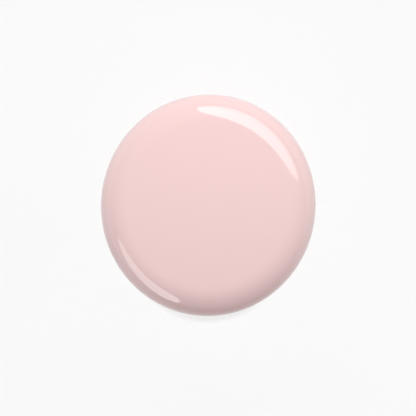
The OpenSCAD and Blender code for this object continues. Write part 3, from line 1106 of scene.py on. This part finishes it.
@dataclass
class Studio:
    """A light table, pale surroundings, two soft boxes, soft suns and the camera."""

    picture_width: float = 58.14        # what the picture takes in at the height of the cap's edge
    lens: float = 135
    sensor: float = 36
    roll_deg: float = 7.7               # the oval's long axis leans this far to the right
    camera_across: float = -0.05        # the camera stands this far to the picture's right of the axis
    camera_up: float = -0.38            # and this far towards its upper edge
    world_light: float = 0.3
    world_seen: float = 0.95            # how bright the surroundings look, straight or through glass
    table_glow: float = 0.612
    table_colour: str = "#959595"
    table_size: float = 6000
    front_deg: float = -78              # as reflections see it, the table is dark towards here
    front_far: float = 160              # from this far out
    front_dark: float = 0.05            # with this share of its brightness
    front_lobe: float = 3               # more makes the dark front narrower
    dome_fall: float = 0.9              # the widest line: about the edge radius and this under the top
    suns: tuple[SoftSun, ...] = (
        SoftSun("overhead_sun", strength=0.412, azimuth=90, elevation=85.1, spread=0.9, fill=False),
        SoftSun("high_fill", strength=0.555, azimuth=90, elevation=45, spread=40, fill=True),
        SoftSun("side_fill", strength=0.09, azimuth=18, elevation=8, spread=60, fill=True))
    panels: tuple[Panel, ...] = (
        Panel("bright_soft_box", azimuth=56, distance=520, half_width_deg=41.5, low_deg=(6, 18),
              high_deg=56, glow=(6.1, 3.6), waist=0.2, power=2, fade=0.4),
        Panel("dim_soft_box", azimuth=226, distance=520, half_width_deg=27, low_deg=(-11.3, 6),
              high_deg=25.3, glow=(4.5, 2.8), waist=0.35, power=3, fade=0))

    def __post_init__(self) -> None:
        """Finds the height of the over-cap's widest line, which the picture's width is measured at."""
        cap = NodeBox.of("over_cap")
        self.edge_z = cap.top - OverCap.edge_radius - self.dome_fall

    def build_camera(self) -> None:
        """Makes the camera, which looks straight down on the over-cap through a long lens."""
        data = bpy.data.cameras.new("camera")
        data.lens, data.sensor_width = self.lens, self.sensor
        data.clip_start, data.clip_end = 0.01, 10
        camera = put("camera", data)
        roll = math.radians(self.roll_deg)
        away = self.picture_width * self.lens / self.sensor
        place = (math.cos(roll) * self.camera_across - math.sin(roll) * self.camera_up,
                 math.sin(roll) * self.camera_across + math.cos(roll) * self.camera_up, self.edge_z + away)
        camera.location = tuple(c * MM for c in place)
        camera.rotation_euler = (0, 0, roll)
        bpy.context.scene.camera = camera

    def build_table(self) -> None:
        """Makes the floor: a light table of opal acrylic, so that shadows stay faint.

        As reflections see it, it eases off to dark towards the front. The share goes by the distance
        from the bottle times a power of the cosine of the angle from the front.
        """
        half = self.table_size / 2
        corners = np.array(((-half, -half, 0), (half, -half, 0), (half, half, 0), (-half, half, 0))) * MM
        mesh = bpy.data.meshes.new("light_table")
        mesh.from_pydata(corners.tolist(), [], [(0, 1, 2, 3)])
        material = bpy.data.materials.new("opal_acrylic")
        material.use_nodes = True
        tree = material.node_tree
        shader = tree.nodes["Principled BSDF"]
        front = math.radians(self.front_deg + self.roll_deg)
        place = add_node(tree, "ShaderNodeTexCoord", {}).outputs["Object"]
        distance = add_node(tree, "ShaderNodeVectorMath", {0: place}, operation="LENGTH")
        direction = add_node(tree, "ShaderNodeVectorMath", {0: place}, operation="NORMALIZE")
        cosine = add_node(tree, "ShaderNodeVectorMath", {
            0: direction.outputs[0], 1: (math.cos(front), math.sin(front), 0)}, operation="DOT_PRODUCT")
        lobe = add_node(tree, "ShaderNodeMath", {
            0: cosine.outputs["Value"], 1: self.front_lobe}, operation="POWER")
        forward = add_node(tree, "ShaderNodeMath", {
            0: lobe.outputs[0], 1: distance.outputs["Value"]}, operation="MULTIPLY")
        level = add_node(tree, "ShaderNodeMapRange", {
            "Value": forward.outputs[0], "From Min": 0.0, "From Max": self.front_far * MM,
            "To Min": 1.0, "To Max": self.front_dark}, interpolation_type="SMOOTHSTEP")
        path = add_node(tree, "ShaderNodeLightPath", {})
        mirrored = add_node(tree, "ShaderNodeMath", {
            0: path.outputs["Is Glossy Ray"], 1: path.outputs["Is Transmission Ray"]},
            operation="SUBTRACT", use_clamp=True)
        share = add_node(tree, "ShaderNodeMix", {
            0: mirrored.outputs[0], 2: 1.0, 3: level.outputs[0]}, data_type="FLOAT")
        colour = add_node(tree, "ShaderNodeMix", {
            0: share.outputs[0], 6: (0, 0, 0, 1), 7: linear(self.table_colour)}, data_type="RGBA")
        glow = add_node(tree, "ShaderNodeMath", {
            0: share.outputs[0], 1: self.table_glow}, operation="MULTIPLY")
        tree.links.new(colour.outputs[2], shader.inputs["Base Color"])
        tree.links.new(glow.outputs[0], shader.inputs["Emission Strength"])
        shader.inputs["Roughness"].default_value = 0.9
        shader.inputs["Specular IOR Level"].default_value = 0.0
        shader.inputs["Emission Color"].default_value = (1, 1, 1, 1)
        mesh.materials.append(material)
        put("light_table", mesh)

    def build_panel(self, panel: Panel) -> None:
        """Stands a soft box beside the bottle, seen only in reflections.

        Args:
            panel: Where it stands, its outline and its glow.
        """
        spots, glow = panel.outline()
        azimuth = math.radians(panel.azimuth + self.roll_deg)
        across, up = spots[..., 0], spots[..., 1] + self.edge_z
        x = panel.distance * math.cos(azimuth) - across * math.sin(azimuth)
        y = panel.distance * math.sin(azimuth) + across * math.cos(azimuth)
        points = np.stack((x, y, up), axis=-1)
        rows, columns = up.shape
        start = np.arange(rows - 1)[:, None] * columns + np.arange(columns - 1)[None, :]
        faces = np.stack((start, start + 1, start + columns + 1, start + columns), axis=-1)
        mesh = bpy.data.meshes.new(panel.name)
        mesh.from_pydata((points.reshape(-1, 3) * MM).tolist(), [], faces.reshape(-1, 4).tolist())
        mesh.attributes.new("glow", "FLOAT", "POINT").data.foreach_set("value", glow.ravel())
        material = bpy.data.materials.new(panel.name)
        material.use_nodes = True
        tree = material.node_tree
        shader = tree.nodes["Principled BSDF"]
        shader.inputs["Base Color"].default_value = (0, 0, 0, 1)
        shader.inputs["Specular IOR Level"].default_value = 0.0
        shader.inputs["Emission Color"].default_value = (1, 1, 1, 1)
        level = add_node(tree, "ShaderNodeAttribute", {}, attribute_name="glow")
        tree.links.new(level.outputs["Fac"], shader.inputs["Emission Strength"])
        mesh.materials.append(material)
        sheet = put(panel.name, mesh)
        sheet.visible_camera = sheet.visible_diffuse = sheet.visible_shadow = False

    def build_sun(self, light: SoftSun) -> None:
        """Makes a soft sun.

        Args:
            light: Its strength, direction and width.
        """
        data = bpy.data.lights.new(light.name, "SUN")
        data.energy = light.strength * math.pi
        data.angle = math.radians(light.spread)
        data.use_shadow = not light.fill
        sun = put(light.name, data)
        turn = light.azimuth + self.roll_deg + 90
        sun.rotation_euler = (math.radians(90 - light.elevation), 0, math.radians(turn))
        sun.visible_glossy = False

    def build_world(self) -> None:
        """Makes the surroundings: a pale backdrop that is dimmer as a light than it looks."""
        world = bpy.data.worlds.new("surroundings")
        world.use_nodes = True
        tree = world.node_tree
        path = add_node(tree, "ShaderNodeLightPath", {})
        seen = add_node(tree, "ShaderNodeMath", {
            0: path.outputs["Is Camera Ray"], 1: path.outputs["Is Transmission Ray"]}, operation="MAXIMUM")
        strength = add_node(tree, "ShaderNodeMapRange", {
            "Value": seen.outputs[0], "To Min": self.world_light, "To Max": self.world_seen})
        backdrop = tree.nodes["Background"]
        backdrop.inputs["Color"].default_value = (1, 1, 1, 1)
        tree.links.new(strength.outputs[0], backdrop.inputs["Strength"])
        bpy.context.scene.world = world

    def build(self) -> None:
        """Makes the whole studio."""
        bpy.context.scene.view_settings.view_transform = "Standard"
        self.build_camera()
        self.build_world()
        self.build_table()
        for panel in self.panels:
            self.build_panel(panel)
        for light in self.suns:
            self.build_sun(light)


def main() -> None:
    """Builds the studio and every sub-assembly."""
    logging.basicConfig(level=logging.INFO, format="%(name)s: %(message)s")
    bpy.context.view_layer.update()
    Studio().build()
    OverCap().build()
    Bottle().build()
    InnerCap().build()
    Brush().build()


if __name__ == "__main__":
    main()
